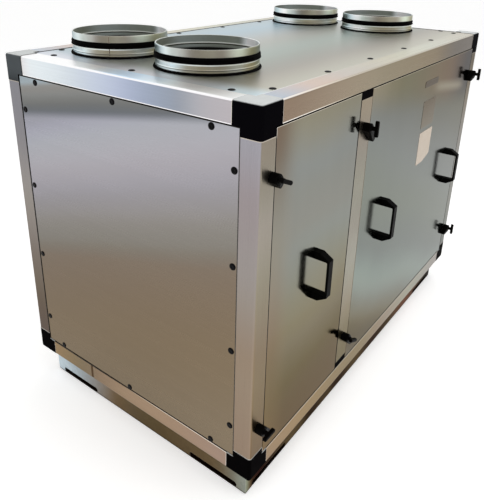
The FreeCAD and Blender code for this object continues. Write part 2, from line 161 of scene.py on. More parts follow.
def metal(name, layers, grain, roughness, depth=0.035, wander=0.02, edge_wear_and_shine=0.35, waves=0.0,
          spangle=0.0, tint=0.7, tooth=0.10, patchy=0.05, dull=None, sheen=0.5):
    """A rolled or drawn metal with grain lines, and edges paler from wear and painted highlight.

    Layers are (direction or ramp value, colour stops, where it shows), the bottom one first.
    """
    material, tree, shader = new_material(name)
    place = add_node(tree, "ShaderNodeTexCoord", {}).outputs["Object"]
    normal = add_node(tree, "ShaderNodeNewGeometry", {}).outputs["Normal"]
    clouds = noise(tree, place, cloud_scale, 2.0).outputs["Color"]
    drift = vectors(tree, "SUBTRACT", clouds, (0.5, 0.5, 0.5))
    near = vectors(tree, "ADD", place, scaled(tree, drift, 2 * wander))
    colour = None
    for direction, stops, where in layers:
        value = direction(tree, near) if callable(direction) else product(tree, near, direction)
        layer = colours_along(tree, value, stops)
        if colour is None:
            colour = layer
        else:
            colour = blended(tree, where(tree, place, normal), colour, layer)
    streaks = noise(tree, stretched(tree, place, grain, line_scales), 1.0, 3.0, Roughness=0.6)
    streaks = streaks.outputs["Fac"]
    bands = noise(tree, stretched(tree, place, grain, band_scales), 1.0, 2.0).outputs["Fac"]
    mixed = maths(tree, "ADD", streaks, bands)
    gain = spread(tree, mixed, 0.7, 1.3, 1.0 - depth, 1.0 + depth)
    if spangle:
        flakes = add_node(tree, "ShaderNodeTexVoronoi", {"Vector": place, "Scale": flake_scale})
        flakes = spread(tree, flakes.outputs["Color"], 0.0, 1.0, 1.0 - spangle, 1.0 + spangle)
        gain = maths(tree, "MULTIPLY", gain, flakes)
    # Paler edges: worn bare, and also a painted highlight on the rounded edges
    rounded = add_node(tree, "ShaderNodeBevel", {"Radius": metal_edge}, samples=4).outputs[0]
    edge = spread(tree, product(tree, rounded, normal), 0.995, 0.85, 0.0, edge_wear_and_shine)
    worn = blended(tree, edge, scaled(tree, colour, gain), worn_and_lit_edge_tone)
    tree.links.new(worn, shader.inputs["Base Color"])
    rough = spread(tree, mixed, 0.7, 1.3, roughness - patchy, roughness + patchy)
    tree.links.new(rough, shader.inputs["Roughness"])
    relief = add_node(tree, "ShaderNodeBump", {"Height": streaks, "Strength": tooth,
                                               "Distance": line_relief}).outputs[0]
    if waves:
        swell = noise(tree, place, swell_scale, 1.0).outputs["Fac"]
        relief = add_node(tree, "ShaderNodeBump", {"Height": swell, "Strength": waves,
                                                   "Distance": swell_relief,
                                                   "Normal": relief}).outputs[0]
    tree.links.new(relief, shader.inputs["Normal"])
    shader.inputs["Metallic"].default_value = 1.0
    if dull:
        matt = spread(tree, dull(tree, place, normal), 0.0, 1.0, 1.0, matt_metallic)
        tree.links.new(matt, shader.inputs["Metallic"])
    shader.inputs["Specular IOR Level"].default_value = sheen
    shader.inputs["Specular Tint"].default_value = (tint, tint, tint, 1.0)
    return material


def finish_node(name, material):
    """Gives a CAD node its finish."""
    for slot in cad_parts[name].material_slots:
        slot.material = material


rail_front = [(-0.83, tone(158, 164, 143)), (-0.815, tone(123, 112, 86)), (-0.80, tone(66, 42, 22)),
              (-0.70, tone(54, 36, 20)), (-0.60, tone(96, 79, 52)), (-0.50, tone(94, 78, 52)),
              (-0.43, tone(56, 38, 20)), (-0.30, tone(84, 67, 43)), (-0.22, tone(54, 35, 18)),
              (-0.05, tone(98, 80, 52)), (0.1, tone(60, 38, 20)), (0.3, tone(90, 71, 46)),
              (0.5, tone(124, 84, 63)), (0.66, tone(88, 67, 48)), (0.83, tone(26, 19, 13))]
rail_back = [(-0.83, tone(112, 100, 80)), (-0.4, tone(90, 75, 54)), (0.1, tone(96, 80, 58)),
             (0.5, tone(86, 70, 52)), (0.83, tone(104, 92, 72))]
rail_sides = [(-0.44, tone(146, 150, 140)), (-0.40, tone(132, 130, 116)),
              (-0.34, tone(112, 98, 76)), (-0.2, tone(104, 88, 64)), (0.05, tone(104, 90, 68)),
              (0.2, tone(132, 118, 102)), (0.36, tone(176, 184, 188)), (0.5, tone(206, 220, 228))]
# Painted shade: darker near the floor and on the upward faces of the lower flange
floor_shade_tones = [(0.0, tone(40, 22, 14)), (0.02, tone(70, 52, 36))]
floor_shade_band = beyond(downward, -0.012, -0.002)
flange_shade = both(faced(upward), beyond(downward, -0.03, -0.02))
for rail, run, along, stops in (("front", "X", along_x, rail_front),
                                ("back", "X", along_x, rail_back),
                                ("left", "Y", along_y, rail_sides),
                                ("right", "Y", along_y, rail_sides)):
    layers = [(along, stops, None), (upward, floor_shade_tones, floor_shade_band),
              (upward, floor_shade_tones, flange_shade)]
    zinc = metal("galvanised_" + rail + "_rail", layers, run, 0.42, spangle=0.08, waves=0.1,
                 edge_wear_and_shine=0.2, tint=0.5)
    finish_node("base_" + rail + "_rail", zinc)


# Bottom and top rails, corner posts and the two mullions: hollow aluminium profiles sawn to length,
# mill finished, with drawing lines that run the length of each bar. Their tones are painted
# reflections: faces that look up carry painted light, and the posts' sideways faces other tones.

def one_tone(red, green, blue):
    """Colour stops that hold one tone over the whole unit."""
    return [(-2.0, tone(red, green, blue)), (2.0, tone(red, green, blue))]


def within(direction, low, high, soft=0.0004):
    """Where the distance along a direction lies between low and high."""
    opposite = [-part for part in direction]
    return both(beyond(direction, low - soft, low + soft),
                beyond(opposite, -high - soft, -high + soft))


def sideways(tree, place, normal):
    """Where the surface looks left or right."""
    turn = add_node(tree, "ShaderNodeMath", {0: product(tree, normal, along_x)},
                    operation="ABSOLUTE").outputs[0]
    return spread(tree, turn, 0.5, 0.8, smooth=True)


lit_top_faces = faced(upward, 0.3, 0.7)
top_front_face = [(-0.78, tone(132, 112, 93)), (-0.45, tone(144, 128, 106)),
                  (-0.2, tone(135, 122, 95)), (0.3, tone(114, 94, 55)), (0.5, tone(75, 59, 30)),
                  (0.78, tone(68, 52, 28))]
top_front_top = [(-0.78, tone(176, 187, 200)), (-0.6, tone(207, 186, 172)),
                 (-0.4, tone(195, 186, 174)), (-0.1, tone(200, 195, 173)),
                 (0.3, tone(194, 194, 175)), (0.78, tone(189, 181, 162))]
bottom_front_face = [(-0.78, tone(160, 135, 106)), (-0.6, tone(162, 137, 100)),
                     (-0.3, tone(150, 131, 97)), (-0.1, tone(150, 133, 102)),
                     (0.1, tone(160, 144, 124)), (0.4, tone(171, 168, 152)),
                     (0.78, tone(163, 157, 152))]
ledge_front = [(-0.8, tone(222, 204, 178)), (0.0, tone(168, 158, 136)), (0.8, tone(160, 160, 152))]
top_side_face = [(-0.39, tone(181, 175, 179)), (-0.29, tone(172, 171, 177)),
                 (-0.2, tone(150, 158, 172)), (0.0, tone(180, 189, 210)),
                 (0.2, tone(211, 219, 227)), (0.4, tone(229, 235, 238)),
                 (0.47, tone(222, 216, 216))]
top_side_top = [(-0.39, tone(255, 255, 255)), (-0.2, tone(253, 255, 255)),
                (0.0, tone(209, 232, 255)), (0.14, tone(255, 255, 255)),
                (0.47, tone(255, 255, 255))]
bottom_side_face = [(-0.39, tone(161, 138, 123)), (-0.2, tone(165, 140, 118)),
                    (0.05, tone(162, 138, 113)), (0.2, tone(144, 123, 100)),
                    (0.3, tone(134, 117, 90)), (0.47, tone(151, 124, 89))]
ledge_side = [(-0.4, tone(232, 214, 196)), (0.0, tone(198, 178, 154)), (0.12, tone(100, 84, 64)),
              (0.47, tone(66, 54, 38))]
post_front_face = [(0.21, tone(120, 100, 76)), (0.45, tone(130, 114, 89)),
                   (0.6, tone(132, 117, 97)), (0.8, tone(139, 132, 116)),
                   (0.95, tone(146, 139, 129)), (1.05, tone(136, 130, 118)),
                   (1.19, tone(133, 124, 111))]
post_side_face = [(0.21, tone(144, 125, 108)), (0.45, tone(143, 127, 110)),
                  (0.6, tone(140, 125, 110)), (0.8, tone(141, 134, 129)),
                  (1.05, tone(144, 136, 138)), (1.19, tone(153, 151, 158))]
far_post_front_face = [(0.21, tone(111, 115, 109)), (0.4, tone(129, 130, 122)),
                       (0.8, tone(140, 135, 127)), (1.0, tone(128, 116, 97)),
                       (1.19, tone(92, 79, 53))]
far_post_side_face = [(0.21, tone(92, 78, 69)), (0.4, tone(104, 92, 79)),
                      (0.6, tone(124, 115, 108)), (0.8, tone(144, 138, 133)),
                      (1.0, tone(137, 134, 137)), (1.19, tone(137, 136, 142))]
mullion_face = [(0.21, tone(119, 107, 76)), (0.35, tone(133, 122, 96)), (0.45, tone(150, 140, 121)),
                (0.6, tone(156, 153, 140)), (0.75, tone(149, 144, 133)), (0.9, tone(144, 141, 128)),
                (1.05, tone(143, 135, 123)), (1.19, tone(154, 141, 121))]
bars = {}
for side in ("front", "back"):
    bars["top_" + side + "_profile"] = "X", [(along_x, top_front_face, None),
                                             (along_x, top_front_top, lit_top_faces)]
    bars["bottom_" + side + "_profile"] = "X", [(along_x, bottom_front_face, None),
                                                (along_x, ledge_front, lit_top_faces)]
    bars[side + "_mullion"] = "Z", [(upward, mullion_face, None)]
for side in ("left", "right"):
    bars["top_" + side + "_profile"] = "Y", [(along_y, top_side_face, None),
                                             (along_y, top_side_top, lit_top_faces)]
    bars["bottom_" + side + "_profile"] = "Y", [(along_y, bottom_side_face, None),
                                                (along_y, ledge_side, lit_top_faces)]
for name, face, flank in (("front_left_post", post_front_face, post_side_face),
                          ("front_right_post", far_post_front_face, post_side_face),
                          ("back_left_post", post_front_face, far_post_side_face),
                          ("back_right_post", post_front_face, far_post_side_face)):
    bars[name] = "Z", [(upward, face, None), (upward, flank, sideways)]

# Thin lines: painted highlights along rounded edges, some fading into painted shade, the sawn ends
# of the bars, and painted shade in the seams, on mullion flanks and on faces that look inwards
shaded = one_tone(24, 20, 14)
sawn_edge = one_tone(226, 219, 210)
dull_sawn_edge = one_tone(192, 182, 170)
front_line = [(-0.8, tone(244, 240, 234)), (-0.62, tone(230, 220, 206)),
              (-0.45, tone(204, 194, 178)), (-0.25, tone(190, 182, 166)),
              (0.8, tone(190, 184, 170))]
front_under_line = [(-0.8, tone(246, 242, 236)), (-0.55, tone(226, 216, 200)),
                    (-0.4, tone(150, 136, 112)), (-0.2, tone(138, 125, 99)),
                    (0.3, tone(119, 100, 63)), (0.5, tone(83, 68, 39)), (0.8, tone(75, 60, 37))]
front_ledge_line = [(-0.8, tone(230, 216, 196)), (-0.3, tone(216, 206, 188)),
                    (0.8, tone(204, 196, 186))]
side_line = [(-0.45, tone(252, 250, 252)), (0.5, tone(254, 254, 255))]
ledge_line = [(-0.45, tone(238, 230, 220)), (-0.1, tone(222, 208, 190)),
              (0.02, tone(150, 132, 110)), (0.12, tone(52, 42, 30)), (0.5, tone(40, 32, 22))]
face_width = 0.062
under_line_width, ledge_line_width = 0.0022, 0.0028
sawn_width, sawn_blend = 0.0020, 0.0006
post_gap, seam_dark, seam_blend = 0.002, 0.0014, 0.0003
door_left_edge = -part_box("left_door")[0].x
panel_front_edge = -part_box("left_end_panel")[0].y
panel_back_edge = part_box("left_end_panel")[1].y
housing_middle = (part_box("top_corners")[1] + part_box("bottom_corners")[0]) / 2
for name, (run, layers) in bars.items():
    low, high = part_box(name)
    towards_middle = housing_middle - (low + high) / 2
    inwards = Vector([0.0 if axis == run else math.copysign(1.0, part)
                      for axis, part in zip("XYZ", towards_middle)])
    if run == "X":
        along, top_line, under_line, floor_line = (along_x, front_line, front_under_line,
                                                   front_ledge_line)
    else:
        along, top_line, under_line, floor_line = along_y, side_line, side_line, ledge_line
    if name.startswith("top_"):
        face_end = high.z - face_width
        layers = layers + [(along, top_line, faced(-inwards.normalized(), 0.93, 0.98)),
                           (along, under_line, within(upward, face_end,
                                                      face_end + under_line_width))]
    if name.startswith("bottom_"):
        face_end = low.z + face_width
        layers = layers + [(along, floor_line, within(upward, face_end - ledge_line_width,
                                                      face_end))]
    if "mullion" in name:
        layers = layers + [(upward, shaded, sideways)]
    else:
        ahead = Vector([1.0 if axis == run else 0.0 for axis in "XYZ"])
        end_tone = dull_sawn_edge if run == "Z" else sawn_edge
        for way, end in ((ahead, high.dot(ahead)), (-ahead, -low.dot(ahead))):
            sawn = beyond(way, end - sawn_width - sawn_blend, end - sawn_width)
            layers = layers + [(upward, end_tone, sawn)]
        layers = layers + [(upward, shaded, faced(inwards.normalized(), 0.3, 0.6))]
    if run == "Z" and "mullion" not in name:
        panel_edge = panel_front_edge if "front" in name else panel_back_edge
        # Painted shade: a dark line on the post's face beside each seam
        for way, edge in (((inwards.x, 0.0, 0.0), door_left_edge),
                          ((0.0, inwards.y, 0.0), panel_edge)):
            start = -edge - post_gap - seam_dark
            layers = layers + [(upward, shaded, beyond(way, start - seam_blend,
                                                       start + seam_blend))]
    finish_node(name, metal("aluminium_" + name, layers, run, 0.30, depth=0.05,
                            tint=1.0 if name.startswith("top_") else 0.7, tooth=0.05))


# Corners and mullion ends: black nylon mouldings pressed into the bars, with faint orange peel and
# grey scuffs along the edges. Their tops carry a painted sheen, and the back top corners a painted
# grey sheen on their sides.

blotch_scale, plastic_edge, skin_relief = 28.0, 0.002, 0.0005


def plastic(name, colour, roughness, peel, scuff=0.25, gloss=0.03, shines=()):
    """Moulded plastic: fine skin, blotchy gloss, paler edges and painted (tone, where) shines."""
    material, tree, shader = new_material(name)
    place = add_node(tree, "ShaderNodeTexCoord", {}).outputs["Object"]
    normal = add_node(tree, "ShaderNodeNewGeometry", {}).outputs["Normal"]
    blotches = noise(tree, place, blotch_scale, 4.0).outputs["Fac"]
    rounded = add_node(tree, "ShaderNodeBevel", {"Radius": plastic_edge}, samples=4).outputs[0]
    edge = spread(tree, product(tree, rounded, normal), 0.99, 0.8, 0.0, scuff)
    pale = tuple(min(1.0, 5.0 * part + 0.01) for part in colour)
    skin_tone = blended(tree, maths(tree, "MULTIPLY", edge, blotches), (*colour, 1.0),
                        (*pale, 1.0))
    for shine_tone, where in shines:
        share = maths(tree, "MULTIPLY", where(tree, place, normal),
                      spread(tree, blotches, 0.2, 0.8, 0.9, 1.0))
        skin_tone = blended(tree, share, skin_tone, (*shine_tone, 1.0))
    tree.links.new(skin_tone, shader.inputs["Base Color"])
    rough = spread(tree, blotches, 0.3, 0.7, roughness - 0.05, roughness + 0.08)
    tree.links.new(rough, shader.inputs["Roughness"])
    skin = noise(tree, place, peel, 2.0).outputs["Fac"]
    relief = add_node(tree, "ShaderNodeBump", {"Height": skin, "Strength": 0.15,
                                               "Distance": skin_relief}).outputs[0]
    tree.links.new(relief, shader.inputs["Normal"])
    shader.inputs["Specular IOR Level"].default_value = gloss
    return material


painted_top_sheen = (tone(206, 209, 208), faced(upward, 0.55, 0.9))
back_top = both(beyond(along_y, 0.42, 0.46), beyond(upward, 1.14, 1.24))
far_sheen = (tone(84, 89, 92), both(sideways, back_top))
finish_node("top_corners", plastic("corner_nylon", tone(9, 8, 11), 0.35, 420.0, scuff=0.1,
                                   gloss=0.001, shines=[far_sheen, painted_top_sheen]))
for name in ("bottom_corners", "mullion_connectors"):
    finish_node(name, plastic("nylon_" + name, tone(7, 5, 6), 0.35, 420.0, scuff=0.1,
                              gloss=0.001, shines=[painted_top_sheen]))


# Fixed panels: trays of bright zinc coated sheet filled with mineral wool and let in between the
# bars, with a black strip in the seam. The sheet is fine brushed. Its tones, cool and pale above
# and warm towards the floor, are painted reflections; its folded edge carries a painted highlight,
# and painted shade lies on its flanks, on its top face and along its seams.

leftward, frontward = (-1.0, 0.0, 0.0), (0.0, -1.0, 0.0)
bright_edge = [(0.0, tone(246, 244, 240)), (1.4, tone(255, 254, 252))]
folded_edge = faced(upward, 0.08, 0.3)
tucked_edge = faced(upward, 0.86, 0.95)
end_slope = (0.0, 0.3, 1.0)
# Painted reflections up the end panels, with a painted darker wedge along the top
end_tones = [(0.10, tone(131, 117, 97)), (0.45, tone(122, 107, 87)), (0.70, tone(119, 107, 94)),
             (0.76, tone(123, 118, 110)), (0.85, tone(135, 131, 128)), (0.94, tone(148, 145, 150)),
             (1.03, tone(164, 161, 167)), (1.12, tone(167, 168, 175)), (1.17, tone(162, 162, 173)),
             (1.20, tone(156, 156, 166))]
wedge_slope = (0.0, 0.164, 1.0)
wedge_tones = [(1.17, tone(107, 111, 116)), (1.20, tone(116, 117, 116)),
               (1.225, tone(132, 133, 131)), (1.256, tone(145, 145, 143)),
               (1.27, tone(160, 172, 178))]
upper_wedge = beyond(wedge_slope, 1.145, 1.18)
flank_in, flank_out = 0.0010, 0.01
top_seam_start, top_seam_end = 0.0032, 0.0026
end_low, end_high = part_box("left_end_panel")
end_layers = [(end_slope, end_tones, None), (wedge_slope, wedge_tones, upper_wedge),
              (upward, shaded, faced(along_y)), (upward, shaded, faced(frontward)),
              (upward, shaded, within(along_y, end_low.y - flank_out, end_low.y + flank_in)),
              (upward, shaded, within(along_y, end_high.y - flank_in, end_high.y + flank_out)),
              (upward, bright_edge, folded_edge),
              (upward, shaded, beyond(upward, end_high.z - top_seam_start,
                                      end_high.z - top_seam_end))]
for name in ("left_end_panel", "right_end_panel"):
    finish_node(name, metal("brushed_" + name, end_layers, "Y", 0.26, depth=0.03, wander=0.008,
                            waves=0.1))
back_tones = [(0.18, tone(118, 103, 82)), (0.4, tone(128, 116, 96)), (0.6, tone(140, 135, 118)),
              (0.9, tone(147, 148, 141)), (1.22, tone(141, 138, 126))]
back_layers = [(upward, back_tones, None), (upward, bright_edge, folded_edge),
               (upward, shaded, tucked_edge)]
for name in ("back_left_panel", "back_right_panel"):
    finish_node(name, metal("brushed_" + name, back_layers, "Z", 0.26, depth=0.03, waves=0.1))
floor_tones = [(-0.8, tone(126, 118, 104)), (0.8, tone(132, 126, 116))]
finish_node("floor_panel", metal("floor_zinc", [(along_x, floor_tones, None)], "X", 0.45,
                                 spangle=0.1))
# Roof: painted reflections, paler along the left edge, and painted highlight lines at two edges
roof_tones = [(-0.42, tone(205, 203, 188)), (-0.28, tone(177, 174, 164)),
              (-0.1, tone(177, 187, 179)), (0.1, tone(191, 194, 189)), (0.3, tone(189, 208, 217)),
              (0.46, tone(196, 211, 217))]
roof_edge_tones = [(-0.4, tone(221, 237, 243)), (-0.2, tone(228, 230, 235)),
                   (0.5, tone(229, 234, 242))]
roof_side_line = [(-0.4, tone(252, 254, 255)), (0.5, tone(250, 252, 255))]
roof_front_line = [(-0.8, tone(250, 252, 255)), (-0.45, tone(240, 236, 228)),
                   (-0.3, tone(208, 204, 192)), (0.8, tone(204, 202, 190))]
line_start, line_end = 0.004, 0.003
roof_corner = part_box("roof_panel")[0]
left_line = beyond(leftward, -roof_corner.x - line_start, -roof_corner.x - line_end)
near_line = beyond(frontward, -roof_corner.y - line_start, -roof_corner.y - line_end)
left_strip = beyond(leftward, 0.70, 0.79)
roof_layers = [(along_y, roof_tones, None), (along_y, roof_edge_tones, left_strip),
               (along_y, roof_side_line, left_line), (along_x, roof_front_line, near_line)]
finish_node("roof_panel", metal("roof_zinc", roof_layers, "X", 0.36, depth=0.012, wander=0.002,
                                waves=0.02, tint=0.85, tooth=0.002, patchy=0.015))
rubber = plastic("black_rubber", tone(5, 4, 4), 0.6, 900.0, scuff=0.03, gloss=0.01)
finish_node("panel_seam_strips", rubber)


# Joint in the left bottom rail: a brown line of sealant where two lengths of profile meet.
# It is wiped flat and stands just proud of the face.

joint_from_front, joint_height, joint_inset = 0.625, 0.154, 0.0003
joint_size, joint_bevel = (0.0010, 0.0120, 0.052), 0.0003


def add_object(name, data):
    """Puts an object in the scene, made of its mesh, lamp or lens."""
    made = bpy.data.objects.new(name, data)
    bpy.context.scene.collection.objects.link(made)
    return made


def new_piece(name, build, material):
    """A piece of the unit, from the mesh built for it."""
    mesh = bpy.data.meshes.new(name)
    build.to_mesh(mesh)
    build.free()
    mesh.materials.append(material)
    return add_object(name, mesh)


bottom_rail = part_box("bottom_left_profile")[0]
joint_place = (bottom_rail.x + joint_inset, bottom_rail.y + joint_from_front, joint_height)
sealant = bmesh.new()
bmesh.ops.create_cube(sealant, size=1.0, matrix=Matrix.Translation(joint_place)
                      @ Matrix.Diagonal((*joint_size, 1.0)))
bmesh.ops.bevel(sealant, geom=sealant.edges[:], offset=joint_bevel, segments=2, affect="EDGES")
brown_sealant = plastic("joint_sealant", tone(92, 72, 52), 0.5, 700.0)
joint = new_piece("left_rail_joint", sealant, brown_sealant)
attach(joint, "housing")


# Screw caps: black plastic domes pressed over the heads of the screws that hold the fixed panels.
# Each is 20 mm across, with a soft rim and a shallow dimple.

cap_outline = [(0.0100, 0.0), (0.0102, 0.0006), (0.0096, 0.0013), (0.0080, 0.0020),
               (0.0054, 0.0024), (0.0036, 0.0024), (0.0028, 0.0020), (0.0, 0.0019)]
cap_sides = 28


def turned_pieces(name, outline, places, material):
    """Turns an outline of (radius, height) pairs about each place's outward axis, as one mesh."""
    build = bmesh.new()
    for centre, outward in places:
        seat = Matrix.Translation(centre) @ outward.to_track_quat("Z", "Y").to_matrix().to_4x4()
        rings = []
        for radius, height in outline:
            turns = [math.tau * i / cap_sides for i in range(cap_sides if radius > 0 else 1)]
            rings.append([build.verts.new(seat @ Vector((radius * math.cos(turn),
                                                         radius * math.sin(turn), height)))
                          for turn in turns])
        for low, high in zip(rings, rings[1:]):
            for i in range(cap_sides):
                j = (i + 1) % cap_sides
                above = [high[j], high[i]] if len(high) > 1 else [high[0]]
                build.faces.new([low[i], low[j]] + above)
        build.faces.new(list(reversed(rings[0])))
    piece = new_piece(name, build, material)
    for face in piece.data.polygons:
        face.use_smooth = len(face.vertices) < cap_sides
    return piece


housing_low = Vector((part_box("left_end_panel")[0].x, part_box("front_left_post")[0].y,
                      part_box("bottom_left_profile")[0].z))
housing_high = Vector((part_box("right_end_panel")[1].x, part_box("back_left_post")[1].y,
                       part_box("top_left_profile")[1].z))
roof_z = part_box("roof_panel")[1].z
roof_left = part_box("front_left_post")[0].x
up, backward = Vector(upward), Vector(along_y)

# How far the caps sit from the edges of the housing or of their panel, and their spacing
first_row, row_spacing, end_column = 0.173, 0.270, 0.078
low_line, high_line, end_depths = 0.073, 1.082, (0.151, 0.512, 0.872)
first_roof_cap, roof_spacing, roof_margin = 0.1617, 0.2921, 0.081
back_margin = 0.014
end_rows = [housing_low.z + first_row + row_spacing * i for i in range(4)]
end_columns = [housing_low.y + end_column, housing_high.y - end_column]
end_spread = [housing_low.y + depth for depth in end_depths]
end_heights = [housing_low.z + low_line, housing_low.z + high_line]
end_caps = [(y, z) for y in end_columns for z in end_rows]
end_caps += [(y, z) for y in end_spread for z in end_heights]
roof_caps = [(roof_left + first_roof_cap + roof_spacing * i, y) for i in range(6)
             for y in (housing_low.y + roof_margin, housing_high.y - roof_margin)]
roof_caps += [(x, y) for x in (roof_left + roof_margin, -roof_left - roof_margin)
              for y in end_spread]
cap_places = {
    "left_end_caps": [(Vector((housing_low.x, y, z)), Vector(leftward)) for y, z in end_caps],
    "right_end_caps": [(Vector((housing_high.x, y, z)), Vector(along_x)) for y, z in end_caps],
    "roof_caps": [(Vector((x, y, roof_z)), up) for x, y in roof_caps],
    "back_caps": [],
}
for name in ("back_left_panel", "back_right_panel"):
    low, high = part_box(name)
    spots = [(x, z) for x in (low.x + back_margin, high.x - back_margin) for z in end_rows]
    spots += [((low.x + high.x) / 2, z) for z in end_heights]
    cap_places["back_caps"] += [(Vector((x, high.y, z)), backward) for x, z in spots]
cap_plastic = plastic("cap_plastic", tone(7, 6, 8), 0.30, 600.0, scuff=0.1, gloss=0.05)
for name, places in cap_places.items():
    caps = turned_pieces(name, cap_outline, places, cap_plastic)
    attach(caps, "housing")


# Doors: trays of the same bright sheet, lifted in from the front against a rubber gasket. The sheet
# is brushed upright and a little wavy, so that handles and latches show in it as soft reflections.
# Its tones are painted reflections, with painted shade and a painted highlight near the wide door's
# head, painted shade on the flanks and in the top seam, and a painted highlight along the top edge.

door_tuck = faced(upward, 0.45, 0.65)
door_fold = faced(upward, 0.08, 0.25)
door_top_line = [(-0.82, tone(240, 232, 218)), (-0.2, tone(222, 212, 190)),
                 (0.6, tone(214, 204, 178)), (0.82, tone(180, 168, 146))]
left_door_tones = [(0.18, tone(99, 78, 43)), (0.3, tone(100, 83, 51)), (0.4, tone(105, 92, 60)),
                   (0.5, tone(119, 109, 85)), (0.6, tone(128, 121, 98)), (0.8, tone(129, 131, 123)),
                   (0.9, tone(129, 129, 122)), (1.0, tone(127, 128, 122)),
                   (1.1, tone(128, 130, 125)), (1.22, tone(134, 129, 111))]
left_door_left = [(0.18, tone(116, 92, 55)), (0.4, tone(116, 99, 68)), (0.6, tone(128, 112, 91)),
                  (0.9, tone(131, 127, 116)), (1.1, tone(112, 103, 91)), (1.22, tone(109, 93, 78))]
left_door_flank = [(0.195, tone(226, 219, 210)), (0.21, tone(78, 64, 40)), (0.5, tone(44, 34, 16)),
                   (1.175, tone(36, 28, 16)), (1.19, tone(226, 219, 210))]
door_left = beyond(leftward, 0.68, 0.80)
left_door_layers = [(upward, left_door_tones, None), (upward, left_door_left, door_left),
                    (upward, shaded, faced(along_x)),
                    (upward, left_door_flank, faced(leftward)),
                    (along_x, door_top_line, door_fold), (upward, shaded, door_tuck)]
right_door_slope = (0.42, 0.0, 1.0)
right_door_tones = [(0.08, tone(102, 91, 69)), (0.17, tone(92, 79, 49)), (0.25, tone(115, 107, 83)),
                    (0.34, tone(132, 135, 125)), (0.42, tone(139, 149, 141)),
                    (0.55, tone(118, 124, 119)), (0.75, tone(120, 125, 116)),
                    (1.0, tone(121, 124, 120)), (1.3, tone(103, 100, 81)),
                    (1.6, tone(119, 117, 106))]
# Painted shade: darker and browner towards the wide door's top right
right_door_head_slope = (0.15, 0.0, 1.0)
right_door_head_shade = [(-0.26, tone(144, 134, 111)), (-0.05, tone(122, 115, 88)),
                   (0.1, tone(115, 108, 81)), (0.4, tone(114, 94, 64)), (0.55, tone(101, 77, 49)),
                   (0.75, tone(35, 23, 12))]
door_head = beyond(right_door_head_slope, 1.06, 1.20)
# Painted highlight: a pale glint below the wide door's upper right latch
glint_slope = (0.14, 0.0, 1.0)
right_door_glint = [(0.2, tone(122, 112, 94)), (0.42, tone(150, 140, 118)),
                     (0.66, tone(146, 136, 114)), (0.8, tone(118, 108, 92))]
glint_patch = both(within(glint_slope, 1.150, 1.182, 0.02), within(along_x, 0.36, 0.72, 0.07))
# Painted shade on the left flank of the wide door
shaded_flank_tone = one_tone(112, 100, 84)
right_door_layers = [(right_door_slope, right_door_tones, None),
                     (along_x, right_door_head_shade, door_head),
                     (along_x, right_door_glint, glint_patch),
                     (upward, shaded, faced(along_x)), (upward, shaded_flank_tone, faced(leftward)),
                     (along_x, door_top_line, door_fold), (upward, shaded, door_tuck)]
for name, layers in (("left_door", left_door_layers), ("right_door", right_door_layers)):
    finish_node(name, metal("brushed_" + name, layers, "Z", 0.12, depth=0.025, wander=0.05,
                            waves=0.12, dull=door_tuck, sheen=0.02))
finish_node("door_gaskets", rubber)


# Plates on the wide door: a bare aluminium plate, a white plate with one corner cut off and a small
# strip above them, all of thin sheet glued on and left blank.

def flat_plate(name, outline, thickness, rounding, finish):
    """A thin plate on the front of the door, from (x, z) corners."""
    door_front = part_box("right_door")[0].y
    build = bmesh.new()
    face = build.faces.new([build.verts.new((x, door_front, z)) for x, z in outline])
    raised = bmesh.ops.extrude_face_region(build, geom=[face])["geom"]
    raised = [item for item in raised if isinstance(item, bmesh.types.BMVert)]
    bmesh.ops.translate(build, verts=raised, vec=(0, -thickness, 0))
    bmesh.ops.recalc_face_normals(build, faces=build.faces[:])
    upright = [edge for edge in build.edges
               if abs(edge.verts[0].co.y - edge.verts[1].co.y) > thickness / 2]
    bmesh.ops.bevel(build, geom=upright, offset=rounding, segments=4, affect="EDGES")
    return new_piece(name, build, finish)


plate_tones = [(0.95, tone(128, 120, 106)), (1.06, tone(110, 98, 80)), (1.14, tone(92, 80, 64))]
plate_metal = metal("bare_plate_aluminium", [(upward, plate_tones, None)], "X", 0.25, depth=0.05)
plate_white = plastic("blank_white_film", tone(204, 190, 174), 0.4, 300.0, scuff=0.1, gloss=0.1)
rating_outline = [(0.238, 0.966), (0.376, 0.966), (0.376, 1.076), (0.238, 1.076)]
label_outline = [(0.240, 0.812), (0.306, 0.812), (0.380, 0.832), (0.380, 0.947), (0.240, 0.947)]
strip_outline = [(0.228, 1.131), (0.370, 1.131), (0.370, 1.156), (0.228, 1.156)]
for name, outline, thickness, rounding, finish in (
        ("rating_plate", rating_outline, 0.0008, 0.003, plate_metal),
        ("blank_label", label_outline, 0.0006, 0.002, plate_white),
        ("name_strip", strip_outline, 0.0010, 0.003, plate_metal)):
    plate = flat_plate(name, outline, thickness, rounding, finish)
    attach(plate, "housing")


# Duct collars: rolled from galvanised strip with a curled rim and lap seamed, with a black lip seal
# and a rubber ring at the roof. The wall carries upright bands of painted reflection, paler on the
# right hand collars, painted highlight lines below the seal, on the bead and on faces that look up,
# and painted shade lines above the seal, under the bead and deep inside.

def around(centre):
    """The share of a turn about an upright axis: left 0, front 0.25, right 0.5 and back 0.75."""
    def share(tree, place):
        offset = vectors(tree, "SUBTRACT", place, centre)
        return add_node(tree, "ShaderNodeTexGradient", {0: offset},
                        gradient_type="RADIAL").outputs["Fac"]
    return share


def inward(centre):
    """Where the surface looks towards an upright axis."""
    def share(tree, place, normal):
        level = vectors(tree, "MULTIPLY", vectors(tree, "SUBTRACT", centre, place), (1.0, 1.0, 0.0))
        towards = add_node(tree, "ShaderNodeVectorMath", {0: level}, operation="NORMALIZE")
        return spread(tree, product(tree, normal, towards.outputs[0]), 0.1, 0.5, smooth=True)
    return share


def either(first, second):
    """Where one share or the other reaches."""
    return lambda tree, place, normal: maths(tree, "MAXIMUM", first(tree, place, normal),
                                             second(tree, place, normal))


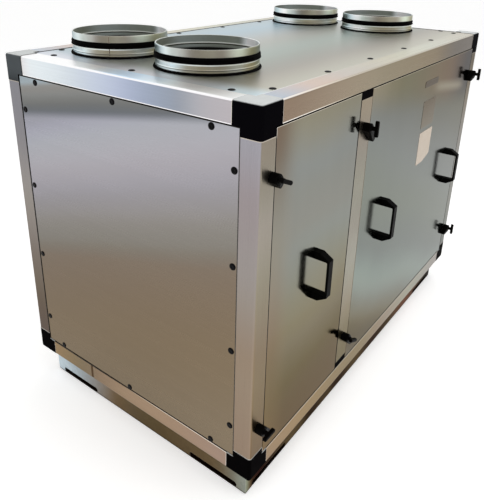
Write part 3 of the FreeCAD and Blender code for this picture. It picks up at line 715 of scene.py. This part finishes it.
def ring(heights):
    """Where the height over the roof lies between two heights."""
    return within(upward, roof_z + heights[0], roof_z + heights[1])


def brighter(stops, gain):
    """The same stops with their colours times a gain."""
    return [(stop, tuple(min(1.0, gain * part) for part in colour)) for stop, colour in stops]


outer_wall = [(0.0, tone(194, 201, 196)), (0.04, tone(167, 167, 161)), (0.065, tone(129, 124, 114)),
              (0.12, tone(139, 135, 120)), (0.16, tone(151, 147, 135)),
              (0.205, tone(197, 205, 189)), (0.25, tone(150, 150, 125)), (0.3, tone(143, 147, 127)),
              (0.36, tone(140, 144, 134)), (0.5, tone(170, 176, 168)), (0.62, tone(140, 138, 120)),
              (0.75, tone(165, 172, 170)), (0.86, tone(150, 162, 162)), (0.92, tone(172, 190, 194)),
              (0.97, tone(222, 233, 233)), (1.0, tone(194, 201, 196))]
lower_wall = [(0.0, tone(242, 255, 255)), (0.04, tone(183, 182, 170)), (0.08, tone(154, 148, 128)),
              (0.12, tone(153, 147, 128)), (0.16, tone(162, 159, 144)),
              (0.205, tone(188, 192, 182)), (0.25, tone(181, 175, 143)), (0.3, tone(170, 172, 145)),
              (0.36, tone(176, 180, 160)), (0.5, tone(190, 196, 188)), (0.62, tone(160, 158, 140)),
              (0.75, tone(185, 192, 190)), (0.86, tone(170, 182, 182)), (0.92, tone(196, 212, 216)),
              (0.97, tone(240, 253, 255)), (1.0, tone(242, 255, 255))]
inner_wall = [(0.0, tone(150, 158, 156)), (0.2, tone(168, 176, 176)), (0.36, tone(206, 216, 220)),
              (0.41, tone(252, 255, 255)), (0.465, tone(250, 254, 255)),
              (0.49, tone(160, 166, 160)), (0.52, tone(140, 146, 136)), (0.60, tone(134, 140, 132)),
              (0.70, tone(146, 154, 150)), (0.78, tone(126, 130, 118)), (0.88, tone(146, 152, 142)),
              (1.0, tone(160, 168, 166))]
# Painted highlight and painted shade lines, and painted shade deep inside the collar
bead_light = one_tone(240, 244, 236)
bead_dark = one_tone(58, 58, 48)
rim_light = one_tone(240, 246, 242)
deep_shade = one_tone(14, 14, 12)
# Painted light: the right hand collars are painted paler
collar_light_gains = {"left": (1.06, 1.0), "right": (1.35, 1.15)}

# Heights over the roof of the painted highlight and shade lines, outside the wall and inside it
lower_part, under_seal, over_seal = (0.0, 0.032), (0.0262, 0.0290), (0.0478, 0.0492)
bead_top, bead_bottom = (0.0445, 0.0470), (0.0405, 0.0445)
deep_shade_start, deep_shade_end = 0.034, 0.028
seam_start, seam_below_rim = 0.008, 0.002

wall_radius, wall_sheet = 0.157, 0.002
seam_half, seam_lift = 0.0016, 0.0005
seam_turns = {"back_left": 215.0, "front_left": -5.0, "back_right": 80.0, "front_right": 80.0}
seam_tones = [(1.28, tone(70, 58, 44)), (1.35, tone(104, 88, 70))]
seam_metal = metal("collar_seam", [(upward, seam_tones, None)], "Z", 0.3)


def seam_fold(name, centre, turn, bottom, top):
    """The thin fold of a lap seam, inside and outside the wall."""
    build = bmesh.new()
    for radius in (wall_radius, wall_radius - wall_sheet):
        middle = Vector((centre[0] + radius * math.cos(turn), centre[1] + radius * math.sin(turn),
                         (bottom + top) / 2))
        turned = Matrix.Translation(middle) @ Matrix.Rotation(turn, 4, "Z")
        fold_size = Matrix.Diagonal((2 * seam_lift, 2 * seam_half, top - bottom, 1.0))
        bmesh.ops.create_cube(build, size=1.0, matrix=turned @ fold_size)
    bmesh.ops.bevel(build, geom=build.edges[:], offset=seam_lift * 0.6, segments=2, affect="EDGES")
    return new_piece(name, build, seam_metal)


for name in ("front_left_spigot", "back_left_spigot", "front_right_spigot", "back_right_spigot"):
    low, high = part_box(name)
    centre = ((low.x + high.x) / 2, (low.y + high.y) / 2, 0.0)
    collar = name.removesuffix("_spigot")
    fold = seam_fold(collar + "_seam", centre, math.radians(seam_turns[collar]),
                     roof_z + seam_start, high.z - seam_below_rim)
    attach(fold, "housing")
    inside = inward(centre)
    outer_gain, lower_gain = collar_light_gains[collar.split("_")[1]]
    matt = either(inside, faced(frontward, 0.5, 0.9)) if "back" in collar else inside
    layers = [(around(centre), brighter(outer_wall, outer_gain), None),
              (around(centre), brighter(lower_wall, lower_gain), ring(lower_part)),
              (upward, rim_light, ring(under_seal)),
              (upward, bead_dark, ring(over_seal)),
              (around(centre), inner_wall, inside),
              (upward, bead_light, both(inside, ring(bead_top))),
              (upward, bead_dark, both(inside, ring(bead_bottom))),
              (upward, deep_shade, both(inside, beyond(downward, -roof_z - deep_shade_start,
                                                -roof_z - deep_shade_end))),
              (upward, rim_light, faced(upward, 0.6, 0.9))]
    finish_node(name, metal("rolled_" + name, layers, "XY", 0.32, depth=0.04, wander=0.004,
                            spangle=0.03, edge_wear_and_shine=0.3, tint=0.8, dull=matt))
finish_node("spigot_lip_seals", rubber)
finish_node("spigot_foot_rings", rubber)


# Door handles: one-piece bridge handles moulded in black nylon, screwed from inside the door.
# They have the fine leathery skin of a spark-eroded mould, polished by hands on the grip.

handle_nylon = plastic("handle_nylon", tone(6, 6, 5), 0.32, 520.0, gloss=0.012, scuff=0.25)
for name in ("left_door_handle", "right_door_left_handle", "right_door_right_handle"):
    finish_node(name, handle_nylon)


# Latches: a claw and a T wing on one screw, both moulded in black nylon. Turning the wing presses
# the claw's nose on the door's edge.

latch_nylon = plastic("latch_nylon", tone(6, 5, 4), 0.32, 520.0, gloss=0.012, scuff=0.25)
for row in ("left", "middle", "right"):
    for level in ("upper", "lower"):
        for part in ("claw", "wing"):
            finish_node(row + "_" + level + "_" + part, latch_nylon)


# Studio: a pale floor, a white surround, soft lamps overhead, at the left and in front, and a
# camera just above the roof, off the near corner.

floor_reach, floor_drop, floor_glow = 40.0, 0.0005, 0.44
floor_mesh = bpy.data.meshes.new("studio_floor")
floor_mesh.from_pydata([(-floor_reach, -floor_reach, 0), (floor_reach, -floor_reach, 0),
                        (floor_reach, floor_reach, 0), (-floor_reach, floor_reach, 0)], [],
                       [(0, 1, 2, 3)])
floor = add_object("studio_floor", floor_mesh)
floor.location.z = -floor_drop


def seen_directly(tree):
    """One for rays from the lens, from a gloss or through glass, and nought for the rest."""
    ray = add_node(tree, "ShaderNodeLightPath", {}).outputs
    seen = maths(tree, "MAXIMUM", ray["Is Camera Ray"], ray["Is Glossy Ray"])
    return maths(tree, "MAXIMUM", seen, ray["Is Transmission Ray"])


floor_paint, tree, paint = new_material("pale_floor")
floor_place = add_node(tree, "ShaderNodeTexCoord", {}).outputs["Object"]
floor_clouds = noise(tree, floor_place, 1.2, 4.0).outputs["Fac"]
floor_tone = add_node(tree, "ShaderNodeValToRGB", {0: floor_clouds})
floor_tone.color_ramp.elements[0].color = (0.86, 0.86, 0.855, 1.0)
floor_tone.color_ramp.elements[1].color = (0.90, 0.90, 0.895, 1.0)
tree.links.new(floor_tone.outputs[0], paint.inputs["Base Color"])
paint.inputs["Roughness"].default_value = 0.7
paint.inputs["Emission Color"].default_value = (1.0, 1.0, 1.0, 1.0)
tree.links.new(spread(tree, seen_directly(tree), 0.0, 1.0, 0.0, floor_glow),
               paint.inputs["Emission Strength"])
floor.data.materials.append(floor_paint)

surround_light, surround_seen = 0.55, 1.0
world = bpy.data.worlds.new("studio")
bpy.context.scene.world = world
world.use_nodes = True
tree = world.node_tree
surround = tree.nodes["Background"]
tree.links.new(spread(tree, seen_directly(tree), 0.0, 1.0, surround_light, surround_seen),
               surround.inputs["Strength"])
surround.inputs["Color"].default_value = (1.0, 1.0, 1.0, 1.0)

lamp_aim = Vector((0, 0, 0.6))
for name, place, size, power in (("overhead_lamp", (0.3, -0.4, 4.6), 3.2, 60.0),
                                 ("left_lamp", (-4.2, -0.8, 2.8), 2.4, 45.0),
                                 ("front_lamp", (0.8, -4.4, 2.6), 2.4, 45.0)):
    lamp = bpy.data.lights.new(name, "AREA")
    lamp.shape = "SQUARE"
    lamp.size = size
    lamp.energy = power
    holder = add_object(name, lamp)
    holder.location = place
    holder.visible_glossy = False
    holder.rotation_euler = (lamp_aim - Vector(place)).to_track_quat("-Z", "Y").to_euler()

near_corner = Vector((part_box("front_left_post")[0].x, housing_low.y, housing_low.z))
camera_offset = Vector((-1.0223, -0.6921, 1.4828))
camera_place = near_corner + camera_offset
look_turn = math.radians(36.4077)
look_tilt = math.radians(-21.2563)
look_roll = math.radians(1.2623)
ahead = Vector((math.cos(look_tilt) * math.cos(look_turn),
                math.cos(look_tilt) * math.sin(look_turn), math.sin(look_tilt)))
level_right = ahead.cross(up).normalized()
level_up = level_right.cross(ahead)
image_right = math.cos(look_roll) * level_right + math.sin(look_roll) * level_up
image_up = math.cos(look_roll) * level_up - math.sin(look_roll) * level_right
picture_width, picture_height = 484.0, 500.0
focal_px = 563.25
axis_px = Vector((239.28, 170.24))
lens = bpy.data.cameras.new("camera")
lens.sensor_fit = "AUTO"
lens.sensor_width = 36.0
lens.lens = focal_px / picture_height * lens.sensor_width
lens.shift_x = (picture_width / 2 - axis_px.x) / picture_height
lens.shift_y = (axis_px.y - picture_height / 2) / picture_height
camera = add_object("camera", lens)
turned = Matrix((image_right, image_up, -ahead)).transposed().to_4x4()
camera.matrix_world = Matrix.Translation(camera_place) @ turned
bpy.context.scene.camera = camera
bpy.context.scene.view_settings.view_transform = "Standard"
